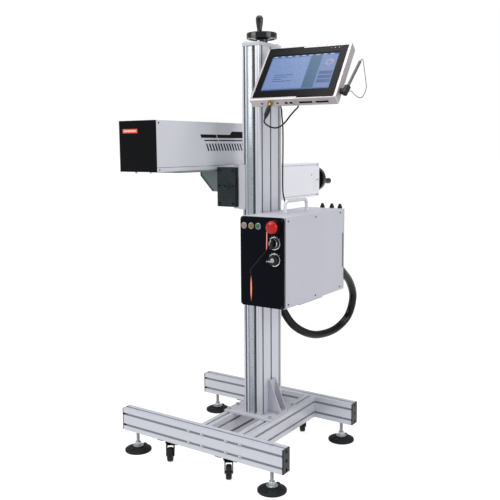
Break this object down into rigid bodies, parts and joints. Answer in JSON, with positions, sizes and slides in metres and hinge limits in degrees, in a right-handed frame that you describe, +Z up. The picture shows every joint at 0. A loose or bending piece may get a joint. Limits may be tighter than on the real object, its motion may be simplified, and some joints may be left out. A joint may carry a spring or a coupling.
{
  "type": "laser coding machine",
  "caption": "Marking head on a crank-driven cross arm and column, on a slotted-rail stand with levelling feet, casters, control box and tilting display.",
  "frame": {"origin": "on the floor under the middle of the machine's box, the hose, cables and tether left out", "axes": "+Z up the column, +X along the base rails towards the control box, +Y from the front cover of the marking head towards the back"},
  "size_m": [0.8678, 0.9752, 1.5055],
  "materials": {
    "anodised_aluminium": "satin",
    "zinc_plated_steel": "bright",
    "dark_cast_plate": "painted, matte",
    "grey_bracket": "matte",
    "arm_skin": "satin",
    "silver_paint": "satin",
    "black_paint": "satin",
    "black_plastic": "satin",
    "gloss_black": "glossy",
    "black_rubber": "matte",
    "black_cable": "satin",
    "red_plastic": "glossy",
    "lamp_plastic": "clear",
    "lit_window": "glossy",
    "screen_glass": "glossy",
    "brushed_case": "brushed"
  },
  "bodies": {
    "stand": {"rail_front": "anodised_aluminium", "rail_rear": "anodised_aluminium", "rail_cap_front_left": "black_plastic", "rail_cap_front_right": "black_plastic", "rail_cap_rear_left": "black_plastic", "rail_cap_rear_right": "black_plastic", "cross_beam_left": "anodised_aluminium", "cross_beam_right": "anodised_aluminium", "base_plate": "anodised_aluminium", "base_gusset": "anodised_aluminium", "column_profile": "anodised_aluminium", "column_top_plate": "anodised_aluminium", "control_box_bracket": "silver_paint", "control_box_handle": "anodised_aluminium", "control_box_housing": "silver_paint", "control_box_rear": "black_paint", "control_panel": "black_paint", "pilot_lamps": "lamp_plastic", "hose_inlet": "black_plastic", "umbilical_hose": "black_cable", "display_bracket": "grey_bracket", "display_down_cable": "black_cable"},
    "lift": {"lift_carriage": "anodised_aluminium", "arm_profile": "arm_skin", "arm_front_plate": "dark_cast_plate", "arm_rear_plate": "arm_skin"},
    "lift_drive": {"lift_screw": "zinc_plated_steel", "lift_handwheel": "black_plastic"},
    "lift_crank_knob": {"lift_knob": "black_plastic"},
    "head": {"head_slider": "anodised_aluminium", "head_bracket": "grey_bracket", "head_housing": "silver_paint", "head_front_cover": "gloss_black", "head_status_window": "lit_window"},
    "arm_drive": {"arm_screw": "zinc_plated_steel", "arm_handwheel": "black_plastic"},
    "arm_crank_knob": {"arm_knob": "black_plastic"},
    "display_swivel": {"display_yoke": "grey_bracket"},
    "display": {"display_case": "brushed_case", "display_bezel": "black_plastic", "display_screen": "screen_glass", "display_plug": "black_plastic", "display_loop_cable": "black_cable", "stylus_tether": "black_cable"},
    "stylus": {"stylus": "black_plastic"},
    "emergency_stop": {"emergency_stop": "red_plastic"},
    "key_switch": {"key_switch": "black_plastic"},
    "selector_switch": {"selector_switch": "black_plastic"},
    "foot_front_left": {"foot_front_left": "black_rubber"},
    "caster_front_left": {"caster_fork_front_left": "black_paint"},
    "wheel_front_left": {"caster_wheel_front_left": "black_rubber"},
    "foot_front_right": {"foot_front_right": "black_rubber"},
    "caster_front_right": {"caster_fork_front_right": "black_paint"},
    "wheel_front_right": {"caster_wheel_front_right": "black_rubber"},
    "foot_rear_left": {"foot_rear_left": "black_rubber"},
    "caster_rear_left": {"caster_fork_rear_left": "black_paint"},
    "wheel_rear_left": {"caster_wheel_rear_left": "black_rubber"},
    "foot_rear_right": {"foot_rear_right": "black_rubber"},
    "caster_rear_right": {"caster_fork_rear_right": "black_paint"},
    "wheel_rear_right": {"caster_wheel_rear_right": "black_rubber"}
  },
  "joints": [
    {"name": "lift_slide", "type": "slide", "parent": "stand", "child": "lift", "axis": [0, 0, 1], "range_m": [-0.6, 0.35]},
    {"name": "lift_screw_turn", "type": "hinge", "parent": "stand", "child": "lift_drive", "pos_m": [0.0261, -0.1231, 1.4], "axis": [0, 0, 1], "continuous": true},
    {"name": "lift_knob_turn", "type": "hinge", "parent": "lift_drive", "child": "lift_crank_knob", "pos_m": [0.04192, -0.16038, 1.4555], "axis": [0, 0, 1], "continuous": true},
    {"name": "head_slide", "type": "slide", "parent": "lift", "child": "head", "axis": [0, 1, 0], "range_m": [0, 0.36]},
    {"name": "arm_screw_turn", "type": "hinge", "parent": "lift", "child": "arm_drive", "pos_m": [-0.0777, 0.4024, 0.9515], "axis": [0, 1, 0], "continuous": true},
    {"name": "arm_knob_turn", "type": "hinge", "parent": "arm_drive", "child": "arm_crank_knob", "pos_m": [-0.03824, 0.4376, 0.94239], "axis": [0, 1, 0], "continuous": true},
    {"name": "display_swivel", "type": "hinge", "parent": "stand", "child": "display_swivel", "pos_m": [0.22797, -0.1787, 1.26471], "axis": [0, 0, 1], "range_deg": [-12, 60]},
    {"name": "display_tilt", "type": "hinge", "parent": "display_swivel", "child": "display", "pos_m": [0.22797, -0.1787, 1.26471], "axis": [0.9957, 0.0924, 0], "range_deg": [-15, 35]},
    {"name": "stylus_draw", "type": "slide", "parent": "display", "child": "stylus", "axis": [0.096, 0.6213, 0.7776], "range_m": [0, 0.05], "deforming": ["stylus_tether"]},
    {"name": "emergency_stop_push", "type": "slide", "parent": "stand", "child": "emergency_stop", "axis": [0, 1, 0], "range_m": [0, 0.006]},
    {"name": "selector_turn", "type": "hinge", "parent": "stand", "child": "selector_switch", "pos_m": [0.1931, -0.3116, 0.785], "axis": [0, 1, 0], "range_deg": [-45, 45]},
    {"name": "key_turn", "type": "hinge", "parent": "stand", "child": "key_switch", "pos_m": [0.1931, -0.3116, 0.733], "axis": [0, 1, 0], "range_deg": [0, 90]},
    {"name": "level_front_left", "type": "slide", "parent": "stand", "child": "foot_front_left", "axis": [0, 0, 1], "range_m": [-0.02, 0.015]},
    {"name": "level_front_right", "type": "slide", "parent": "stand", "child": "foot_front_right", "axis": [0, 0, 1], "range_m": [-0.02, 0.015]},
    {"name": "level_rear_left", "type": "slide", "parent": "stand", "child": "foot_rear_left", "axis": [0, 0, 1], "range_m": [-0.02, 0.015]},
    {"name": "level_rear_right", "type": "slide", "parent": "stand", "child": "foot_rear_right", "axis": [0, 0, 1], "range_m": [-0.02, 0.015]},
    {"name": "swivel_front_left", "type": "hinge", "parent": "stand", "child": "caster_front_left", "pos_m": [-0.2029, -0.3646, 0.0727], "axis": [0, 0, 1], "continuous": true},
    {"name": "roll_front_left", "type": "hinge", "parent": "caster_front_left", "child": "wheel_front_left", "pos_m": [-0.19283, -0.37952, 0.028], "axis": [0.829, 0.5592, 0], "continuous": true},
    {"name": "swivel_front_right", "type": "hinge", "parent": "stand", "child": "caster_front_right", "pos_m": [0.0471, -0.3646, 0.0727], "axis": [0, 0, 1], "continuous": true},
    {"name": "roll_front_right", "type": "hinge", "parent": "caster_front_right", "child": "wheel_front_right", "pos_m": [0.05717, -0.37952, 0.028], "axis": [0.829, 0.5592, 0], "continuous": true},
    {"name": "swivel_rear_left", "type": "hinge", "parent": "stand", "child": "caster_rear_left", "pos_m": [-0.2029, 0.1174, 0.0727], "axis": [0, 0, 1], "continuous": true},
    {"name": "roll_rear_left", "type": "hinge", "parent": "caster_rear_left", "child": "wheel_rear_left", "pos_m": [-0.19283, 0.10248, 0.028], "axis": [0.829, 0.5592, 0], "continuous": true},
    {"name": "swivel_rear_right", "type": "hinge", "parent": "stand", "child": "caster_rear_right", "pos_m": [0.0471, 0.1174, 0.0727], "axis": [0, 0, 1], "continuous": true},
    {"name": "roll_rear_right", "type": "hinge", "parent": "caster_rear_right", "child": "wheel_rear_right", "pos_m": [0.05717, 0.10248, 0.028], "axis": [0.829, 0.5592, 0], "continuous": true}
  ],
  "couplings": [
    {"joint": "lift_screw_turn", "follows": "lift_slide", "rad_per_m": -314.16},
    {"joint": "arm_screw_turn", "follows": "head_slide", "rad_per_m": -314.16}
  ]
}
